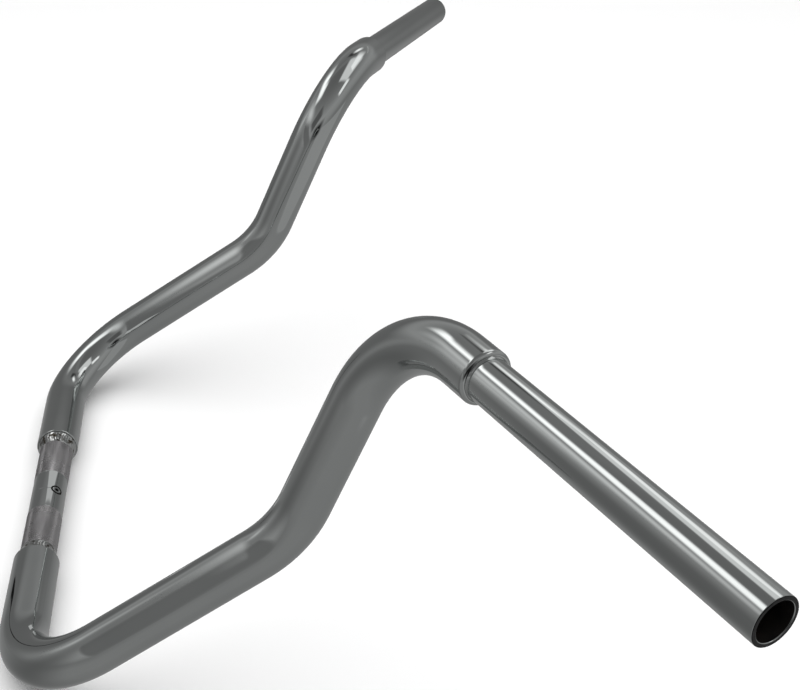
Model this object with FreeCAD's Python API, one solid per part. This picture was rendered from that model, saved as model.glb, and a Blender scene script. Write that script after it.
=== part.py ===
import FreeCAD, Part
import os
import math

# A motorcycle handlebar: one straight clamp tube in the middle, two fat bent risers
# slipped over its ends, two thin hand-grip tubes slipped into the risers' tops, and a
# ring of weld at each of the four joints. All lengths are millimetres, all angles degrees.
#
# Frame: the origin is the centre of the clamp section, with the clamp tube along X.
# +X is the rider's left, +Y is rearward, towards the rider, and +Z is up.

# Tube stock
GRIP_RADIUS = 12.7            # 1 in over the hand grips and over the knurling
GRIP_WALL = 2.41              # 0.095 in wall
SPIGOT_RADIUS = 12.5          # the clamp tube, and the grip tubes' turned-down inner ends
CLAMP_WALL = 2.85
FAT_RADIUS = 15.875           # 1-1/4 in risers
FAT_WALL = 3.175              # 1/8 in wall, so that the bore slips over a spigot
CLAMP_END_ROUNDING = 0.9      # a riser's outer edge at its clamp end, ground round
GRIP_END_ROUNDING = 2.4       # and at its grip end

# The centreline's legs, which meet at corners, and the bends that round those corners
CLAMP_HALF = 76.2             # centre to a riser's rim: 6 in between the rims
SHOULDER = 214.0              # centre to the lower corner
LOWER_LEG = 205.4             # lower corner to middle corner
LOWER_RISE = 31.7             # the lower leg's climb from level
UPPER_LEG = 160.6             # middle corner to top corner
UPPER_RISE = 65.4             # the upper leg's climb from level
TOP_LEG = 286.0               # top corner to the hand grip's open end
SWEEP = 24.2                  # hand grip swept back from the clamp tube's direction
DROOP = 3.4                   # hand grip tipped down towards its open end
GRIP_LENGTH = 203.2           # open end to the riser's rim: 8 in
LOWER_BEND = 67.5             # centreline radius
MIDDLE_BEND = 80.0
TOP_BEND = 69.5

# Slip joints and welds
CLAMP_INSERT = 38.1           # clamp tube inside the riser
GRIP_INSERT = 19.05           # grip tube inside the riser
CLAMP_WELD_RUN = 9.8          # weld measured along the clamp tube
CLAMP_WELD_TOP = 14.9         # the weld's radius where it meets the riser's end face
GRIP_WELD_RUN = 1.4           # the same for the small weld around the grip tube
GRIP_WELD_TOP = 13.4
WELD_HOLLOW = 0.03            # sag of a weld's face below straight, as a share of its run
EDGE_EASE = 0.5               # chamfer on the open ends of the grip tubes

# Knurled bands for the riser clamps, the centre mark, and the centre hole
KNURL_INNER = 23.5            # centre to the near end of each band
KNURL_OUTER = 66.0            # centre to the far end of each band, just short of the weld
MARK_DEPTH = 0.3              # V groove around the tube at its centre
HOLE_RADIUS = 1.6             # through the wall, in the middle of a round island
ISLAND_TOP = 3.2              # the island's radius at the tube's surface
ISLAND_FOOT = 3.45            # and at the floor of the groove around it
GROOVE_FOOT = 4.3             # the groove's outer radius at its floor
GROOVE_TOP = 4.8              # and at the tube's surface
GROOVE_DEPTH = 1.8
HOLE_ANGLE = 51.0             # up from rearward, around the clamp tube

ORIGIN = FreeCAD.Vector(0, 0, 0)
LEFT = FreeCAD.Vector(1, 0, 0)
REARWARD = FreeCAD.Vector(0, 1, 0)


def climbing(rise):
    """The direction of a leg that goes rearward and up."""
    angle = math.radians(rise)
    return FreeCAD.Vector(0, math.cos(angle), math.sin(angle))


def outward_leg(sweep, droop):
    """The direction of the left hand grip, towards its open end."""
    back = math.radians(sweep)
    down = math.radians(droop)
    level = math.cos(down)
    return FreeCAD.Vector(level * math.cos(back), level * math.sin(back), -math.sin(down))


# The left side's corners, from the clamp section out to the open end
GRIP_DIRECTION = outward_leg(SWEEP, DROOP)
CLAMP_RIM = LEFT * CLAMP_HALF
LOWER_CORNER = LEFT * SHOULDER
MIDDLE_CORNER = LOWER_CORNER + climbing(LOWER_RISE) * LOWER_LEG
TOP_CORNER = MIDDLE_CORNER + climbing(UPPER_RISE) * UPPER_LEG
OPEN_END = TOP_CORNER + GRIP_DIRECTION * TOP_LEG
GRIP_RIM = OPEN_END - GRIP_DIRECTION * GRIP_LENGTH


def centreline(points, radii):
    """A wire of straight legs through the points, with a tangent arc at each inner one."""
    edges = []
    start = points[0]
    for before, corner, after, radius in zip(points, points[1:], points[2:], radii):
        arriving = (corner - before).normalize()
        leaving = (after - corner).normalize()
        half_turn = arriving.getAngle(leaving) / 2
        setback = radius * math.tan(half_turn)
        gap = radius / math.cos(half_turn) - radius
        arc_start = corner - arriving * setback
        arc_middle = corner + (leaving - arriving).normalize() * gap
        arc_end = corner + leaving * setback
        edges.append(Part.makeLine(start, arc_start))
        edges.append(Part.Arc(arc_start, arc_middle, arc_end).toShape())
        start = arc_end
    edges.append(Part.makeLine(start, points[-1]))
    return Part.Wire(edges)


def rod(path, radius):
    """A solid round rod along a wire that starts at the riser's rim by the clamp tube."""
    circle = Part.Wire(Part.makeCircle(radius, CLAMP_RIM, LEFT))
    return path.makePipeShell([circle], True, False)


def outer_edge(tube, rim):
    """The riser's outer circle at one of its rims."""
    for edge in tube.Edges:
        if edge.Closed and abs(edge.BoundBox.Center.distanceToPoint(rim)) < 0.01:
            if abs(edge.Length - 2 * math.pi * FAT_RADIUS) < 0.1:
                return edge
    raise ValueError("no outer edge at this rim")


def lathe(outline, start, along):
    """Turns a closed outline of (distance along, radius) points about an axis."""
    sideways = along.cross(REARWARD).normalize()
    points = [start + along * run + sideways * radius for run, radius in outline]
    face = Part.Face(Part.makePolygon(points + points[:1]))
    return face.revolve(start, along, 360)


def riser():
    """The left riser: a fat tube with a lower, a middle and a top bend."""
    corners = [CLAMP_RIM, LOWER_CORNER, MIDDLE_CORNER, TOP_CORNER, GRIP_RIM]
    path = centreline(corners, [LOWER_BEND, MIDDLE_BEND, TOP_BEND])
    tube = rod(path, FAT_RADIUS).cut(rod(path, FAT_RADIUS - FAT_WALL))
    tube = tube.makeFillet(CLAMP_END_ROUNDING, [outer_edge(tube, CLAMP_RIM)])
    return tube.makeFillet(GRIP_END_ROUNDING, [outer_edge(tube, GRIP_RIM)])


def weld(rim, outward, toe_radius, length, top_radius):
    """A fillet weld with a hollow face, from a riser's end face out to its toe."""
    sideways = outward.cross(REARWARD).normalize()
    sag = WELD_HOLLOW * length

    def at(run, radius):
        return rim + outward * run + sideways * radius

    root = at(0, SPIGOT_RADIUS)
    under_toe = at(length, SPIGOT_RADIUS)
    toe = at(length, toe_radius)
    top = at(0, top_radius)
    middle = at(length / 2 - sag, (toe_radius + top_radius) / 2 - sag)
    edges = [Part.makeLine(top, root), Part.makeLine(root, under_toe)]
    if toe.distanceToPoint(under_toe) > 0.001:
        edges.append(Part.makeLine(under_toe, toe))
    edges.append(Part.Arc(toe, middle, top).toShape())
    return Part.Face(Part.Wire(edges)).revolve(rim, outward, 360)


def grip_tube():
    """The left hand-grip tube, bored right through, with a spigot that enters the riser."""
    bore = GRIP_RADIUS - GRIP_WALL
    spigot_end = GRIP_INSERT + GRIP_WELD_RUN
    open_end = GRIP_INSERT + GRIP_LENGTH
    outline = [
        (0, bore),
        (0, SPIGOT_RADIUS),
        (spigot_end, SPIGOT_RADIUS),
        (spigot_end, GRIP_RADIUS),
        (open_end - EDGE_EASE, GRIP_RADIUS),
        (open_end, GRIP_RADIUS - EDGE_EASE),
        (open_end, bore + EDGE_EASE),
        (open_end - EDGE_EASE, bore),
    ]
    return lathe(outline, GRIP_RIM - GRIP_DIRECTION * GRIP_INSERT, GRIP_DIRECTION)


def centre_hole(tube):
    """The tube with a small hole in the middle of an island, and the groove around it."""
    angle = math.radians(HOLE_ANGLE)
    out = FreeCAD.Vector(0, math.cos(angle), math.sin(angle))
    drill = Part.makeCylinder(HOLE_RADIUS, 2 * SPIGOT_RADIUS, ORIGIN, out)
    outline = [
        (0, ISLAND_FOOT),
        (0, GROOVE_FOOT),
        (2 * GROOVE_DEPTH, 2 * GROOVE_TOP - GROOVE_FOOT),
        (2 * GROOVE_DEPTH, 2 * ISLAND_TOP - ISLAND_FOOT),
    ]
    groove = lathe(outline, out * (SPIGOT_RADIUS - GROOVE_DEPTH), out)
    return tube.cut(drill).cut(groove)


def clamp_tube():
    """The centre tube: plain, with two knurled bands, a centre mark and the centre hole."""
    reach = CLAMP_HALF + CLAMP_INSERT
    bore = SPIGOT_RADIUS - CLAMP_WALL
    left_half = [
        (MARK_DEPTH, SPIGOT_RADIUS),
        (KNURL_INNER, SPIGOT_RADIUS),
        (KNURL_INNER, GRIP_RADIUS),
        (KNURL_OUTER, GRIP_RADIUS),
        (KNURL_OUTER, SPIGOT_RADIUS),
        (reach, SPIGOT_RADIUS),
        (reach, bore),
    ]
    right_half = [(-along, radius) for along, radius in reversed(left_half)]
    outline = right_half + [(0, SPIGOT_RADIUS - MARK_DEPTH)] + left_half
    return centre_hole(lathe(outline, ORIGIN, LEFT))


def save(name, shape):
    """Writes one closed solid to its own file."""
    if len(shape.Solids) != 1 or not shape.isValid():
        raise ValueError(name + " is not one valid solid")
    shape.Solids[0].exportStep("parts/" + name + ".step")


os.makedirs("parts", exist_ok=True)
save("centre_clamp_tube", clamp_tube())
inward = LEFT * -1
pairs = {
    "riser_tube": riser(),
    "grip_tube": grip_tube(),
    "clamp_weld": weld(CLAMP_RIM, inward, SPIGOT_RADIUS, CLAMP_WELD_RUN, CLAMP_WELD_TOP),
    "grip_weld": weld(GRIP_RIM, GRIP_DIRECTION, GRIP_RADIUS, GRIP_WELD_RUN, GRIP_WELD_TOP),
}
for name, left in pairs.items():
    save("left_" + name, left)
    save("right_" + name, left.mirror(ORIGIN, LEFT))
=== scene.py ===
import math
import random

import bpy
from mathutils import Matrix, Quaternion, Vector

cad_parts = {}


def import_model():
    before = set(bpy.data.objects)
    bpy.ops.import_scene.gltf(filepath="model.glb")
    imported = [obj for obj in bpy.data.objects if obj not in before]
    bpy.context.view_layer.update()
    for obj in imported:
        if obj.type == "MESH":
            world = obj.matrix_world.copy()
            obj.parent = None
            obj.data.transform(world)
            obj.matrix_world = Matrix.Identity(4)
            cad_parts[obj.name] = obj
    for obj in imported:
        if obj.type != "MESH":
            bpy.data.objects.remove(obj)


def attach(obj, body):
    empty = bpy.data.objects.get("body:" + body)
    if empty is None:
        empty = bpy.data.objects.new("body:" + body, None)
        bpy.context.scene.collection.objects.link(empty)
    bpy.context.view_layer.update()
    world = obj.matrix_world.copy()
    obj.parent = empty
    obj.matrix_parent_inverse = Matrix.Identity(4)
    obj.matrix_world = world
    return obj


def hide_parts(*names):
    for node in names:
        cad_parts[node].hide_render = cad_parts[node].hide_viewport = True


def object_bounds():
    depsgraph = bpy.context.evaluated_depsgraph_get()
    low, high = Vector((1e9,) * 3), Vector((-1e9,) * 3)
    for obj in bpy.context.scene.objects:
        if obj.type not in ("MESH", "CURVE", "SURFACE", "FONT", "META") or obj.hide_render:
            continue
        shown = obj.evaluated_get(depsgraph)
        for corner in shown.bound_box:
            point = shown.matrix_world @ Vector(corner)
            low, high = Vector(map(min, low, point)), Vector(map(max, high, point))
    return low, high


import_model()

CAD_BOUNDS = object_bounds()

# ---------------------------------------------------------------------------------------
# The bar's driving dimensions, the same as the CAD model's, here in metres and radians
# ---------------------------------------------------------------------------------------
MM = 0.001
GRIP_RADIUS = 12.7 * MM
GRIP_BORE = 10.29 * MM
SPIGOT_RADIUS = 12.5 * MM
CLAMP_BORE = 9.65 * MM
FAT_RADIUS = 15.875 * MM
FAT_BORE = 12.7 * MM
CLAMP_END_ROUNDING = 0.9 * MM
GRIP_END_ROUNDING = 2.4 * MM

CLAMP_HALF = 76.2 * MM
SHOULDER = 214.0 * MM
LOWER_LEG = 205.4 * MM
LOWER_RISE = math.radians(31.7)
UPPER_LEG = 160.6 * MM
UPPER_RISE = math.radians(65.4)
TOP_LEG = 286.0 * MM
SWEEP = math.radians(24.2)
DROOP = math.radians(3.4)
GRIP_LENGTH = 203.2 * MM
BEND_RADII = (67.5 * MM, 80.0 * MM, 69.5 * MM)

CLAMP_INSERT = 38.1 * MM
GRIP_INSERT = 19.05 * MM
CLAMP_WELD_RUN = 9.8 * MM
CLAMP_WELD_TOP = 14.9 * MM
GRIP_WELD_RUN = 1.4 * MM
GRIP_WELD_TOP = 13.4 * MM
WELD_HOLLOW = 0.03            # sag of a weld's face, as a share of its run
EDGE_EASE = 0.5 * MM

KNURL_INNER = 23.5 * MM
KNURL_OUTER = 66.0 * MM
MARK_DEPTH = 0.3 * MM
HOLE_RADIUS = 1.6 * MM
ISLAND_TOP = 3.2 * MM
ISLAND_FOOT = 3.45 * MM
GROOVE_FOOT = 4.3 * MM
GROOVE_TOP = 4.8 * MM
GROOVE_DEPTH = 1.8 * MM
HOLE_ANGLE = math.radians(51.0)

# Knurling: diamonds between two families of V grooves that wind opposite ways
KNURLS_AROUND = 72
SAMPLES_PER_KNURL = 4
KNURL_DEPTH = 0.26 * MM
KNURL_FLAT = 0.72             # share of the full pyramid's height that is kept

# How finely the skins are meshed
TUBE_SEGMENTS = 144
BEAD_SEGMENTS = 288
BEAD_RINGS = 14
CUTTER_SEGMENTS = 96
KNURL_STEP = 0.05 * MM        # run of the sharp step at each end of a knurled band
SPIGOT_STEP = 0.1 * MM        # and of the step from a spigot to the hand grip

# The clamp welds' ripples, and the far smaller ones of the grip welds
CLAMP_RIPPLES = 31
CLAMP_RIPPLE_HEIGHT = 0.30 * MM
GRIP_RIPPLES = 30
GRIP_RIPPLE_HEIGHT = 0.02 * MM

BODY = "root"
SEED = 11

# ---------------------------------------------------------------------------------------
# The centreline of the left half, as straight legs and the arcs between them
# ---------------------------------------------------------------------------------------


class Route:
    """A centreline that gives the place, direction and up vector at any distance along it."""

    def __init__(self, corners, radii):
        self.runs = []
        self.length = 0.0
        start = corners[0]
        ahead = (corners[1] - corners[0]).normalized()
        up = Vector((0, 0, 1))
        for corner, after, radius in zip(corners[1:], corners[2:], radii):
            leaving = (after - corner).normalized()
            turn = ahead.angle(leaving)
            setback = radius * math.tan(turn / 2)
            arc_start = corner - ahead * setback
            self.add(start, ahead, up, (arc_start - start).length, None, None)
            axis = ahead.cross(leaving).normalized()
            centre = arc_start + axis.cross(ahead) * radius
            self.add(arc_start, ahead, up, radius * turn, centre, axis)
            up = Quaternion(axis, turn) @ up
            start = corner + leaving * setback
            ahead = leaving
        self.add(start, ahead, up, (corners[-1] - start).length, None, None)

    def add(self, start, ahead, up, length, centre, axis):
        """Appends a straight leg, or an arc where a centre and an axis are given."""
        self.runs.append((self.length, length, start, ahead, up, centre, axis))
        self.length += length

    def at(self, distance):
        """(point, direction, up) at a distance from the start; straight on past either end."""
        run = self.runs[0]
        for candidate in self.runs:
            if distance >= candidate[0]:
                run = candidate
        begun, _, start, ahead, up, centre, axis = run
        along = distance - begun
        if centre is None:
            return start + ahead * along, ahead, up
        arm = start - centre
        turned = Quaternion(axis, along / arm.length)
        return centre + turned @ arm, turned @ ahead, turned @ up


def left_corners():
    """The corners of the left half, from the clamp section's centre to the open end."""
    lower = Vector((SHOULDER, 0, 0))
    middle = lower + Vector((0, math.cos(LOWER_RISE), math.sin(LOWER_RISE))) * LOWER_LEG
    top = middle + Vector((0, math.cos(UPPER_RISE), math.sin(UPPER_RISE))) * UPPER_LEG
    level = math.cos(DROOP)
    outward = Vector((level * math.cos(SWEEP), level * math.sin(SWEEP), -math.sin(DROOP)))
    return [Vector((0, 0, 0)), lower, middle, top, top + outward * TOP_LEG]


ROUTE = Route(left_corners(), BEND_RADII)
CLAMP_RIM = CLAMP_HALF
GRIP_RIM = ROUTE.length - GRIP_LENGTH
OPEN_END = ROUTE.length

# ---------------------------------------------------------------------------------------
# Mesh making
# ---------------------------------------------------------------------------------------


def steps(start, end, size):
    """Evenly spaced distances from start to end, no further apart than size."""
    count = max(1, math.ceil(abs(end - start) / size))
    return [start + (end - start) * i / count for i in range(count + 1)]


def swept(name, side, profile, segments, materials, radius=None, material_of=None, flat=None):
    """A closed skin around the centreline.

    profile is a closed loop of (distance, radius) rings. side is 1 for the left half and -1
    for its mirror image. radius(distance, angle, ring radius) can shape a ring, and
    material_of and flat take a ring's index and say how the faces up to the next ring look.
    """
    vertices = []
    for distance, ring in profile:
        point, ahead, up = ROUTE.at(distance)
        across = ahead.cross(up)
        for j in range(segments):
            angle = 2 * math.pi * j / segments
            reach = ring if radius is None else radius(distance, angle, ring)
            spot = point + (up * math.cos(angle) + across * math.sin(angle)) * reach
            vertices.append((spot.x * side, spot.y, spot.z))
    rings = len(profile)
    faces = []
    looks = []
    for i in range(rings):
        here, there = i * segments, (i + 1) % rings * segments
        look = 0 if material_of is None else material_of(i)
        hard = False if flat is None else flat(i)
        for j in range(segments):
            k = (j + 1) % segments
            quad = (here + j, there + j, there + k, here + k)
            faces.append(quad if side > 0 else quad[::-1])
            looks.append((look, hard))
    mesh = bpy.data.meshes.new(name)
    mesh.from_pydata(vertices, [], faces)
    mesh.validate()
    for material in materials:
        mesh.materials.append(material)
    for polygon, (look, hard) in zip(mesh.polygons, looks):
        polygon.material_index = look
        polygon.use_smooth = not hard
    piece = bpy.data.objects.new(name, mesh)
    bpy.context.collection.objects.link(piece)
    return piece


def keep_broad_normals(piece):
    """Lets each broad face keep its own normal beside a narrow rounding."""
    modifier = piece.modifiers.new("broad_normals", "WEIGHTED_NORMAL")
    modifier.weight = 60
    modifier.keep_sharp = True


def hand_over(piece, node):
    """The piece stands for its CAD node and moves with the bar."""
    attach(piece, BODY)
    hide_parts(node)


# ---------------------------------------------------------------------------------------
# Materials
# ---------------------------------------------------------------------------------------


def new_material(name):
    """An empty node material: (material, nodes, links, shader)."""
    material = bpy.data.materials.new(name)
    material.use_nodes = True
    nodes = material.node_tree.nodes
    return material, nodes, material.node_tree.links, nodes["Principled BSDF"]


def noise(nodes, links, where, scale, detail, roughness=0.5):
    """Cloudy noise over the object's own coordinates, from 0 to 1."""
    node = nodes.new("ShaderNodeTexNoise")
    node.inputs["Scale"].default_value = scale
    node.inputs["Detail"].default_value = detail
    node.inputs["Roughness"].default_value = roughness
    links.new(where, node.inputs["Vector"])
    return node.outputs["Fac"]


def ramp(nodes, links, value, low, high, at_low, at_high):
    """Maps value from low..high to at_low..at_high."""
    node = nodes.new("ShaderNodeMapRange")
    node.inputs["From Min"].default_value = low
    node.inputs["From Max"].default_value = high
    node.inputs["To Min"].default_value = at_low
    node.inputs["To Max"].default_value = at_high
    links.new(value, node.inputs["Value"])
    return node.outputs["Result"]


def blend_colours(nodes, links, factor, first, second):
    """The first colour where factor is 0, the second where it is 1."""
    node = nodes.new("ShaderNodeMix")
    node.data_type = "RGBA"
    node.inputs["A"].default_value = (*first, 1)
    node.inputs["B"].default_value = (*second, 1)
    links.new(factor, node.inputs["Factor"])
    return node.outputs["Result"]


def add_bump(nodes, links, shader, height, strength, distance):
    """Lets height rough up the shading."""
    node = nodes.new("ShaderNodeBump")
    node.inputs["Strength"].default_value = strength
    node.inputs["Distance"].default_value = distance
    links.new(height, node.inputs["Height"])
    links.new(node.outputs["Normal"], shader.inputs["Normal"])


def chrome(name, bright, dull, rough_low, rough_high, waviness):
    """Chrome plate: a slightly uneven tone and polish over a faintly wavy surface."""
    material, nodes, links, shader = new_material(name)
    where = nodes.new("ShaderNodeTexCoord").outputs["Object"]
    haze = noise(nodes, links, where, 9.0, 3.0)
    tone = ramp(nodes, links, haze, 0.35, 0.65, 0.0, 1.0)
    links.new(blend_colours(nodes, links, tone, bright, dull), shader.inputs["Base Color"])
    wipe = noise(nodes, links, where, 45.0, 4.0, 0.6)
    polish = ramp(nodes, links, wipe, 0.35, 0.7, rough_low, rough_high)
    links.new(polish, shader.inputs["Roughness"])
    shader.inputs["Metallic"].default_value = 1.0
    swell = noise(nodes, links, where, 38.0, 1.0)
    add_bump(nodes, links, shader, swell, waviness, 0.001)
    return material


def weld_metal():
    """Chrome over the weld beads, with brown soot in their hollows."""
    material, nodes, links, shader = new_material("welded_chrome")
    where = nodes.new("ShaderNodeTexCoord").outputs["Object"]
    haze = ramp(nodes, links, noise(nodes, links, where, 60.0, 3.0), 0.35, 0.65, 0.0, 1.0)
    plated = blend_colours(nodes, links, haze, (0.58, 0.59, 0.585), (0.47, 0.48, 0.475))
    pits = noise(nodes, links, where, 240.0, 2.0)
    soot = nodes.new("ShaderNodeMix")
    soot.data_type = "RGBA"
    soot.inputs["B"].default_value = (0.075, 0.062, 0.045, 1)
    links.new(ramp(nodes, links, pits, 0.54, 0.64, 0.0, 1.0), soot.inputs["Factor"])
    links.new(plated, soot.inputs["A"])
    links.new(soot.outputs["Result"], shader.inputs["Base Color"])
    links.new(ramp(nodes, links, pits, 0.5, 0.64, 0.06, 0.35), shader.inputs["Roughness"])
    shader.inputs["Metallic"].default_value = 1.0
    add_bump(nodes, links, shader, pits, 0.35, 0.0006)
    return material


def painted_dark_end():
    """The sawn and eased open end, painted near black: painted shade that stands in for the dark
    reflection on the end face.
    """
    material, nodes, links, shader = new_material("painted_dark_end")
    where = nodes.new("ShaderNodeTexCoord").outputs["Object"]
    patches = noise(nodes, links, where, 260.0, 3.0)
    tone = ramp(nodes, links, patches, 0.35, 0.7, 0.0, 1.0)
    # Painted shade: the end face is coloured near black in place of the dark reflection seen
    # there.
    colour = blend_colours(nodes, links, tone, (0.01, 0.01, 0.01), (0.035, 0.035, 0.035))
    links.new(colour, shader.inputs["Base Color"])
    shader.inputs["Metallic"].default_value = 1.0
    shader.inputs["Roughness"].default_value = 0.3
    return material


def bare_steel_and_shade():
    """The unplated inside of the tubes: rough, with a brown bloom, and painted near black as
    painted shade inside the bore.
    """
    material, nodes, links, shader = new_material("bore_steel_and_painted_shade")
    where = nodes.new("ShaderNodeTexCoord").outputs["Object"]
    bloom = noise(nodes, links, where, 120.0, 5.0, 0.6)
    tone = ramp(nodes, links, bloom, 0.35, 0.7, 0.0, 1.0)
    # Painted shade: near black, darker than bare steel, for the shade inside the bore; the brown
    # bloom is the steel's own.
    colour = blend_colours(nodes, links, tone, (0.008, 0.008, 0.008), (0.022, 0.018, 0.015))
    links.new(colour, shader.inputs["Base Color"])
    shader.inputs["Metallic"].default_value = 0.6
    shader.inputs["Roughness"].default_value = 0.62
    add_bump(nodes, links, shader, bloom, 0.3, 0.0004)
    return material


CHROME = chrome("smoke_chrome", (0.56, 0.578, 0.572), (0.51, 0.53, 0.525), 0.035, 0.075, 0.05)
KNURLED = chrome("knurled_chrome", (0.47, 0.46, 0.465), (0.40, 0.39, 0.40), 0.22, 0.34, 0.0)
WELDED = weld_metal()
PAINTED_DARK_END = painted_dark_end()
SHADED_BORE = bare_steel_and_shade()

# ---------------------------------------------------------------------------------------
# The pieces
# ---------------------------------------------------------------------------------------


def rounded_end(rim, outward, radius, rounding, count):
    """The rings of a quarter-round outer edge, from the tube's wall to its end face."""
    rings = []
    for i in range(count + 1):
        angle = math.pi / 2 * i / count
        back = rounding * (1 - math.sin(angle))
        rings.append((rim - outward * back, radius - rounding * (1 - math.cos(angle))))
    return rings


def riser(side, word):
    """The fat bent tube, with ground ends and a bare bore painted near black as shade."""
    first = rounded_end(CLAMP_RIM, -1, FAT_RADIUS, CLAMP_END_ROUNDING, 8)[::-1]
    last = rounded_end(GRIP_RIM, 1, FAT_RADIUS, GRIP_END_ROUNDING, 12)
    wall = [(d, FAT_RADIUS) for d in steps(first[-1][0], last[0][0], 2 * MM)[1:-1]]
    plated = len(first) + len(wall) + len(last)
    bore = [(d, FAT_BORE) for d in steps(GRIP_RIM, CLAMP_RIM, 4 * MM)]
    return swept(
        word + "_riser", side, first + wall + last + bore, TUBE_SEGMENTS, [CHROME, SHADED_BORE],
        material_of=lambda i: 0 if i < plated - 1 else 1,
    )


def grip(side, word):
    """The thin straight tube, with eased edges at its open end and a bare bore painted near black
    as shade.
    """
    start = GRIP_RIM - GRIP_INSERT
    spigot_end = GRIP_RIM + GRIP_WELD_RUN
    outside = [(start, SPIGOT_RADIUS), (spigot_end - SPIGOT_STEP, SPIGOT_RADIUS)]
    outside += [(d, GRIP_RADIUS) for d in steps(spigot_end, OPEN_END - EDGE_EASE, 4 * MM)]
    lip = rounded_end(OPEN_END, 1, GRIP_RADIUS, EDGE_EASE, 5)
    inner = [(d, GRIP_BORE + GRIP_RADIUS - r) for d, r in reversed(lip)]
    outside += lip[1:]
    bore = [(d, GRIP_BORE) for d in steps(OPEN_END - EDGE_EASE, start, 6 * MM)[1:]]
    rings = outside + inner + bore
    lip_from = len(outside) - len(lip) + 2
    lip_to = len(outside) + len(inner) - 1
    inner_edge = len(outside) + 1

    def look(i):
        """Bare steel with painted shade in the bore, the sawn lip painted near black as shade,
        and plated elsewhere.
        """
        if i >= lip_to:
            return 2
        return 1 if lip_from <= i < inner_edge else 0

    # The lip's material is painted shade, coloured near black in place of a dark reflection.
    materials = [CHROME, PAINTED_DARK_END, SHADED_BORE]
    return swept(
        word + "_grip_tube", side, rings, TUBE_SEGMENTS, materials, material_of=look
    )


def bead_profile(rim, outward, toe_radius, length, top_radius):
    """The rings of a fillet weld: its hollow face from toe to top, then its root."""
    face = []
    for i in range(BEAD_RINGS + 1):
        share = i / BEAD_RINGS
        run = length * (1 - share)
        straight = toe_radius + (top_radius - toe_radius) * share
        sag = WELD_HOLLOW * length * 4 * share * (1 - share)
        face.append((rim + outward * (run - sag * 0.7), straight - sag))
    root = [(rim, SPIGOT_RADIUS), (rim + outward * length, SPIGOT_RADIUS)]
    return face + root


def ripple_maker(ripples, height, seed):
    """A stack-of-coins ripple for a weld's face, uneven like hand work."""
    chance = random.Random(seed)
    heights = [height * chance.uniform(0.55, 1.3) for _ in range(ripples)]
    shifts = [chance.uniform(-0.18, 0.18) for _ in range(ripples)]

    def lift(angle, share):
        """The height at an angle around the tube and a share of the way from toe to top."""
        crescent = 0.55 * (2 * share - 1) ** 2
        turn = ripples * angle / (2 * math.pi) + crescent
        index = int(turn) % ripples
        place = turn % 1.0 + shifts[index] * math.sin(math.pi * (turn % 1.0))
        scallop = math.sqrt(max(0.0, 1 - (2 * place - 1) ** 2))
        return heights[index] * scallop * math.sin(math.pi * share) ** 0.6

    return lift


def weld(side, name, skin, rim, outward, toe_radius, length, top_radius, ripples, height, seed):
    """A ring of weld, with the ripples that the torch left."""
    profile = bead_profile(rim, outward, toe_radius, length, top_radius)
    if outward < 0:
        profile = profile[:1] + profile[:0:-1]
    lift = ripple_maker(ripples, height, seed)

    def radius(distance, angle, ring):
        share = 1 - abs(distance - rim) / length
        if ring <= SPIGOT_RADIUS + 0.01 * MM or not 0 < share < 1:
            return ring
        return ring + lift(angle, share)

    return swept(name, side, profile, BEAD_SEGMENTS, [skin], radius=radius)


def knurl_height(distance, angle):
    """How high a diamond stands at this spot, from 0 in a groove to 1 on its flat top."""
    around = KNURLS_AROUND * angle / (2 * math.pi)
    pitch = 2 * math.pi * GRIP_RADIUS / KNURLS_AROUND
    along = distance / pitch
    first = abs(2 * ((around + along) % 1.0) - 1)
    second = abs(2 * ((around - along) % 1.0) - 1)
    return min(1.0, min(first, second) / KNURL_FLAT)


def clamp_tube():
    """The straight middle tube, with knurled bands, the centre mark and the centre hole."""
    reach = CLAMP_HALF + CLAMP_INSERT
    pitch = 2 * math.pi * GRIP_RADIUS / KNURLS_AROUND
    fine = pitch / SAMPLES_PER_KNURL
    count = round((KNURL_OUTER - KNURL_INNER) / fine)
    band = [KNURL_INNER + (KNURL_OUTER - KNURL_INNER) * i / count for i in range(count + 1)]
    mark = [(0.0, SPIGOT_RADIUS - MARK_DEPTH), (MARK_DEPTH, SPIGOT_RADIUS)]
    plain_from, plain_to = 2 * MARK_DEPTH, KNURL_INNER - KNURL_STEP
    half = mark + [(d, SPIGOT_RADIUS) for d in steps(plain_from, plain_to, 1.2 * MM)]
    knurl_from = len(half)
    half += [(d, GRIP_RADIUS) for d in band]
    knurl_to = len(half)
    half += [(d, SPIGOT_RADIUS) for d in steps(KNURL_OUTER + KNURL_STEP, reach, 2.5 * MM)]
    outside = [(-d, r) for d, r in reversed(half[1:])] + half
    bore = [(d, CLAMP_BORE) for d in steps(reach, -reach, 4 * MM)]
    middle = len(half) - 1

    def from_centre(i):
        """The ring's place in the left half's list, for the faces from ring i to i + 1."""
        return i - middle if i >= middle else middle - 1 - i

    def knurled(i):
        return i < len(outside) - 1 and knurl_from <= from_centre(i) < knurl_to - 1

    def look(i):
        """Bare steel with painted shade in the bore, matt on the knurled bands, and plated
        elsewhere.
        """
        if i >= len(outside):
            return 2
        return 1 if knurled(i) else 0

    def radius(distance, angle, ring):
        """Sinks the grooves of the knurling into the rings of full radius."""
        if ring < GRIP_RADIUS:
            return ring
        return ring - KNURL_DEPTH * (1 - knurl_height(distance, angle))

    tube = swept(
        "clamp_tube", 1, outside + bore, KNURLS_AROUND * SAMPLES_PER_KNURL,
        [CHROME, KNURLED, SHADED_BORE], radius=radius, material_of=look, flat=knurled,
    )
    cut_centre_hole(tube)
    return tube


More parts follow.
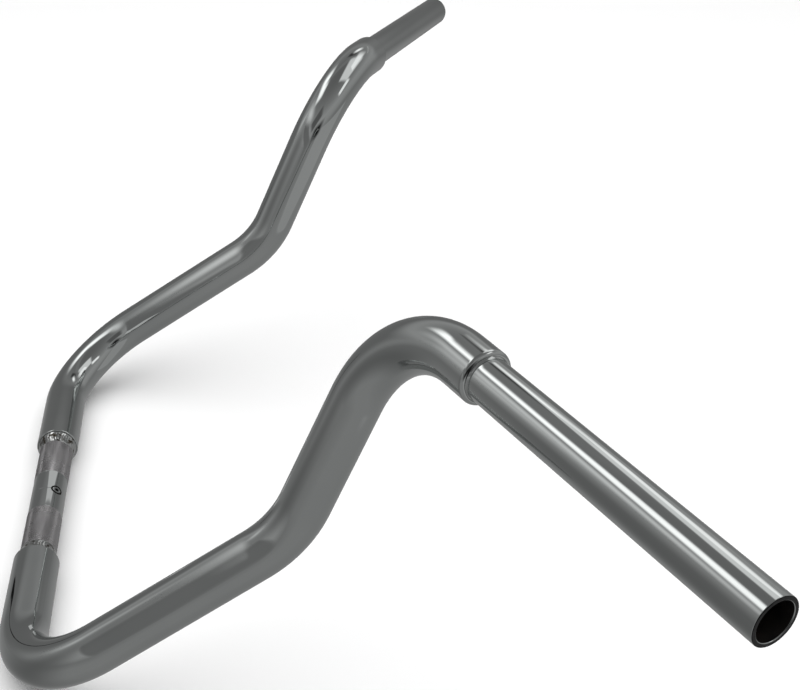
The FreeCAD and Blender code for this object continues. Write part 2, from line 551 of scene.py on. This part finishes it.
def cut_away(tube, outline, capped):
    """Cuts a turned solid out of the tube: rings of (height, radius) about the hole's axis."""
    out = Vector((0, math.cos(HOLE_ANGLE), math.sin(HOLE_ANGLE)))
    sideways = Vector((1, 0, 0))
    third = out.cross(sideways)
    segments = CUTTER_SEGMENTS
    vertices = []
    for height, radius in outline:
        for j in range(segments):
            angle = 2 * math.pi * j / segments
            arm = (sideways * math.cos(angle) + third * math.sin(angle)) * radius
            vertices.append(tuple(out * height + arm))
    rings = len(outline)
    last = (rings - 1) * segments
    faces = [tuple(range(segments))[::-1], tuple(range(last, last + segments))] if capped else []
    for i in range(rings - 1 if capped else rings):
        low, high = i * segments, (i + 1) % rings * segments
        for j in range(segments):
            k = (j + 1) % segments
            faces.append((low + j, low + k, high + k, high + j))
    mesh = bpy.data.meshes.new("cutter")
    mesh.from_pydata(vertices, [], faces)
    for material in tube.data.materials:
        mesh.materials.append(material)
    # The cut walls take the bore's near-black painted shade.
    for polygon in mesh.polygons:
        polygon.use_smooth = True
        polygon.material_index = 2
    cutter = bpy.data.objects.new("cutter", mesh)
    bpy.context.collection.objects.link(cutter)
    cut = tube.modifiers.new("cut", "BOOLEAN")
    cut.object = cutter
    cut.operation = "DIFFERENCE"
    cut.solver = "EXACT"
    bpy.context.view_layer.update()
    evaluated = tube.evaluated_get(bpy.context.evaluated_depsgraph_get())
    remaining = bpy.data.meshes.new_from_object(evaluated)
    tube.modifiers.clear()
    tube.data = remaining
    bpy.data.objects.remove(cutter)


def cut_centre_hole(tube):
    """The small hole in its island, and the groove around it, whose walls are painted near black
    as shade.
    """
    above = SPIGOT_RADIUS + GROOVE_DEPTH
    floor_height = SPIGOT_RADIUS - GROOVE_DEPTH
    groove = [
        (floor_height, ISLAND_FOOT),
        (floor_height, GROOVE_FOOT),
        (above, 2 * GROOVE_TOP - GROOVE_FOOT),
        (above, 2 * ISLAND_TOP - ISLAND_FOOT),
    ]
    inside_bore = 0.5 * MM
    cut_away(tube, [(inside_bore, HOLE_RADIUS), (above, HOLE_RADIUS)], True)
    cut_away(tube, groove, False)


def sharpen(piece, angle):
    """Marks the edges that turn by more than angle as sharp."""
    mesh = piece.data
    normals = {}
    for polygon in mesh.polygons:
        for key in polygon.edge_keys:
            normals.setdefault(key, []).append(polygon.normal)
    for edge in mesh.edges:
        pair = normals.get(edge.key, [])
        edge.use_edge_sharp = len(pair) == 2 and pair[0].angle(pair[1], 0.0) > angle


def make_bar():
    """Makes all nine pieces and hands each one its CAD node."""
    middle = clamp_tube()
    sharpen(middle, math.radians(35))
    keep_broad_normals(middle)
    hand_over(middle, "centre_clamp_tube")
    for side, word in ((1, "left"), (-1, "right")):
        tube = riser(side, word)
        keep_broad_normals(tube)
        hand_over(tube, word + "_riser_tube")
        thin = grip(side, word)
        keep_broad_normals(thin)
        hand_over(thin, word + "_grip_tube")
        bead = weld(
            side, word + "_clamp_bead", WELDED, CLAMP_RIM, -1, SPIGOT_RADIUS,
            CLAMP_WELD_RUN, CLAMP_WELD_TOP, CLAMP_RIPPLES, CLAMP_RIPPLE_HEIGHT, SEED + side,
        )
        hand_over(bead, word + "_clamp_weld")
        bead = weld(
            side, word + "_grip_bead", CHROME, GRIP_RIM, 1, GRIP_RADIUS,
            GRIP_WELD_RUN, GRIP_WELD_TOP, GRIP_RIPPLES, GRIP_RIPPLE_HEIGHT, SEED + 5 * side,
        )
        hand_over(bead, word + "_grip_weld")


make_bar()

# ---------------------------------------------------------------------------------------
# Floor, light and camera
# ---------------------------------------------------------------------------------------
LOWEST = CAD_BOUNDS[0][2]
CENTRE = Vector((0.0, 0.17, 0.10))            # what the lamp and most of the cards face
CLAMP_MIDDLE = Vector((5 * MM, 0, 0))         # what the smallest card faces
CAMERA_PLACE = Vector((0.8812, 0.1588, 0.5902))
CAMERA_TARGET = Vector((0.0058, 0.2661, 0.1190))
CAMERA_LENS = 61.8                            # millimetres, on a 36 mm wide sensor
FLOOR_REACH = 40.0
OVERHEAD_HEIGHT = 3.0
OVERHEAD_SIZE = 6.0
OVERHEAD_RADIANCE = 1.9

# The surroundings' grey, by how high one looks: -1 is straight down and 1 is straight up
WORLD_GREYS = (
    (-1.0, 0.27), (-0.75, 0.30), (-0.4, 0.30), (-0.12, 0.25),
    (0.08, 0.37), (0.3, 0.41), (0.6, 0.28), (1.0, 0.17),
)


def towards(azimuth, elevation):
    """A unit vector: azimuth from +X towards +Y, elevation up from level, in degrees."""
    a, e = math.radians(azimuth), math.radians(elevation)
    return Vector((math.cos(e) * math.cos(a), math.cos(e) * math.sin(a), math.sin(e)))


def aim(thing, place, target):
    """Puts a lamp or a camera at a place and turns it to look at the target."""
    thing.location = place
    thing.rotation_euler = (target - place).to_track_quat("-Z", "Y").to_euler()


def edge_fade(nodes, links, coordinate, half, softness):
    """1 over a card's middle, falling smoothly to 0 at its edge, along one of its axes."""
    size = nodes.new("ShaderNodeMath")
    size.operation = "ABSOLUTE"
    links.new(coordinate, size.inputs[0])
    fade = nodes.new("ShaderNodeMapRange")
    fade.interpolation_type = "SMOOTHSTEP"
    fade.inputs["From Min"].default_value = half * (1 - softness)
    fade.inputs["From Max"].default_value = half
    fade.inputs["To Min"].default_value = 1.0
    fade.inputs["To Max"].default_value = 0.0
    links.new(size.outputs[0], fade.inputs["Value"])
    return fade.outputs["Result"]


def glow(name, width, height, radiance, softness):
    """A card's material: an even glow that fades away towards the card's edges."""
    material = bpy.data.materials.new(name)
    material.use_nodes = True
    nodes, links = material.node_tree.nodes, material.node_tree.links
    nodes.remove(nodes["Principled BSDF"])
    where = nodes.new("ShaderNodeTexCoord")
    axes = nodes.new("ShaderNodeSeparateXYZ")
    links.new(where.outputs["Object"], axes.inputs[0])
    both = nodes.new("ShaderNodeMath")
    both.operation = "MULTIPLY"
    links.new(edge_fade(nodes, links, axes.outputs["X"], width / 2, softness), both.inputs[0])
    links.new(edge_fade(nodes, links, axes.outputs["Y"], height / 2, softness), both.inputs[1])
    emission = nodes.new("ShaderNodeEmission")
    emission.inputs["Strength"].default_value = radiance
    mix = nodes.new("ShaderNodeMixShader")
    links.new(both.outputs[0], mix.inputs[0])
    links.new(nodes.new("ShaderNodeBsdfTransparent").outputs[0], mix.inputs[1])
    links.new(emission.outputs[0], mix.inputs[2])
    links.new(mix.outputs[0], nodes["Material Output"].inputs["Surface"])
    return material


def card(name, azimuth, elevation, distance, width, height, roll, radiance, softness, faced=None):
    """A glowing card that faces the bar's middle or another spot, seen only in reflections.

    azimuth and elevation say where it stands, at a distance from what it faces. Angles are
    in degrees and lengths in metres. A card with next to no radiance is a dark flag.
    """
    w, h = width / 2, height / 2
    mesh = bpy.data.meshes.new(name)
    mesh.from_pydata([(-w, -h, 0), (w, -h, 0), (w, h, 0), (-w, h, 0)], [], [(0, 1, 2, 3)])
    mesh.materials.append(glow(name, width, height, radiance, softness))
    panel = bpy.data.objects.new(name, mesh)
    bpy.context.collection.objects.link(panel)
    outward = towards(azimuth, elevation)
    panel.location = (CENTRE if faced is None else faced) + outward * distance
    facing = (-outward).to_track_quat("-Z", "Y") @ Quaternion((0, 0, 1), math.radians(roll))
    panel.rotation_euler = facing.to_euler()
    panel.visible_camera = False
    panel.visible_diffuse = False
    panel.visible_shadow = False


def overhead():
    """A wide soft lamp above, which lights the floor but isn't seen in the chrome."""
    lamp = bpy.data.lights.new("overhead", "AREA")
    lamp.shape = "RECTANGLE"
    lamp.size = OVERHEAD_SIZE
    lamp.size_y = OVERHEAD_SIZE
    lamp.energy = OVERHEAD_RADIANCE * lamp.size * lamp.size_y * math.pi
    holder = bpy.data.objects.new("overhead", lamp)
    bpy.context.collection.objects.link(holder)
    aim(holder, CENTRE + Vector((0, 0, OVERHEAD_HEIGHT)), CENTRE)
    holder.visible_glossy = False
    holder.visible_camera = False


def floor():
    """A plain pale floor that reaches past every view."""
    far = FLOOR_REACH
    mesh = bpy.data.meshes.new("floor")
    corners = [(-far, -far), (far, -far), (far, far), (-far, far)]
    mesh.from_pydata([(x, y, LOWEST) for x, y in corners], [], [(0, 1, 2, 3)])
    material, _, _, shader = new_material("pale_floor")
    shader.inputs["Base Color"].default_value = (0.86, 0.86, 0.86, 1)
    shader.inputs["Roughness"].default_value = 0.9
    shader.inputs["Specular IOR Level"].default_value = 0.1
    mesh.materials.append(material)
    ground = bpy.data.objects.new("floor", mesh)
    bpy.context.collection.objects.link(ground)
    ground.visible_glossy = False


def world():
    """Grey surroundings that change with the height that one looks at."""
    surroundings = bpy.data.worlds.new("studio")
    surroundings.use_nodes = True
    nodes, links = surroundings.node_tree.nodes, surroundings.node_tree.links
    where = nodes.new("ShaderNodeTexCoord")
    axes = nodes.new("ShaderNodeSeparateXYZ")
    links.new(where.outputs["Generated"], axes.inputs[0])
    level = ramp(nodes, links, axes.outputs["Z"], -1.0, 1.0, 0.0, 1.0)
    greys = nodes.new("ShaderNodeValToRGB")
    stops = greys.color_ramp.elements
    while len(stops) < len(WORLD_GREYS):
        stops.new(0.5)
    for stop, (height, grey) in zip(stops, WORLD_GREYS):
        stop.position = (height + 1) / 2
        stop.color = (grey, grey, grey, 1)
    links.new(level, greys.inputs["Fac"])
    links.new(greys.outputs["Color"], nodes["Background"].inputs["Color"])
    bpy.context.scene.world = surroundings


def camera():
    """The view over the left hand grip, down towards the clamp section."""
    lens = bpy.data.cameras.new("camera")
    lens.sensor_width = 36.0
    lens.lens = CAMERA_LENS
    eye = bpy.data.objects.new("camera", lens)
    bpy.context.collection.objects.link(eye)
    aim(eye, CAMERA_PLACE, CAMERA_TARGET)
    bpy.context.scene.camera = eye


bpy.context.scene.view_settings.view_transform = "Standard"
floor()
world()
overhead()
card("over_glow", -88, 44, 1.10, 0.50, 1.65, -90, 0.85, 1.00)
card("front_glow", -106, 24, 4.20, 1.45, 2.10, -14, 0.65, 1.00)
card("low_glow", 51, -24, 2.65, 4.50, 1.85, -13, 0.40, 0.10)
card("front_box", -100, 56, 3.65, 2.30, 1.55, -7, 1.65, 0.80)
card("rear_box", 112, 58, 1.11, 0.90, 0.70, -23, 0.95, 0.35)
card("rear_strip", 122, 50, 1.10, 0.95, 0.35, -29, 1.40, 0.65)
card("top_grey", -175, 64, 1.85, 2.00, 0.55, 8, 0.24, 0.60)
card("side_box", 64, 37, 2.45, 1.15, 0.60, 20, 1.35, 0.45)
card("side_strip", 141, 29, 3.10, 1.25, 0.10, -6, 0.55, 0.30)
card("front_dark", -82, -23, 1.10, 4.50, 1.75, 80, 0.16, 1.00)
card("right_dark", 164, 51, 3.15, 1.30, 0.60, -6, 0.05, 0.65)
card("right_box", 158, 42, 2.60, 0.55, 0.95, -32, 1.65, 0.95)
card("front_box_core", -132, 52, 2.60, 2.45, 1.00, 32, 1.90, 0.80)
card("left_dark", -42, 14, 3.00, 4.50, 0.95, -37, 0.20, 0.40)
card("right_low_dark", -168, 8, 1.10, 4.50, 1.15, -1, 0.18, 0.65)
card("camera_dark", -17, 35, 1.30, 0.90, 0.75, 41, 0.13, 0.45)
card("joint_black", 10, 11, 0.78, 0.72, 0.52, 0, 0.01, 0.75)
card("shoulder_line", -130, 0, 1.06, 0.035, 0.26, 0, 0.01, 0.30)
card("middle_streak", 168, 33, 0.07, 0.034, 0.038, 22, 0.65, 0.25, CLAMP_MIDDLE)
camera()
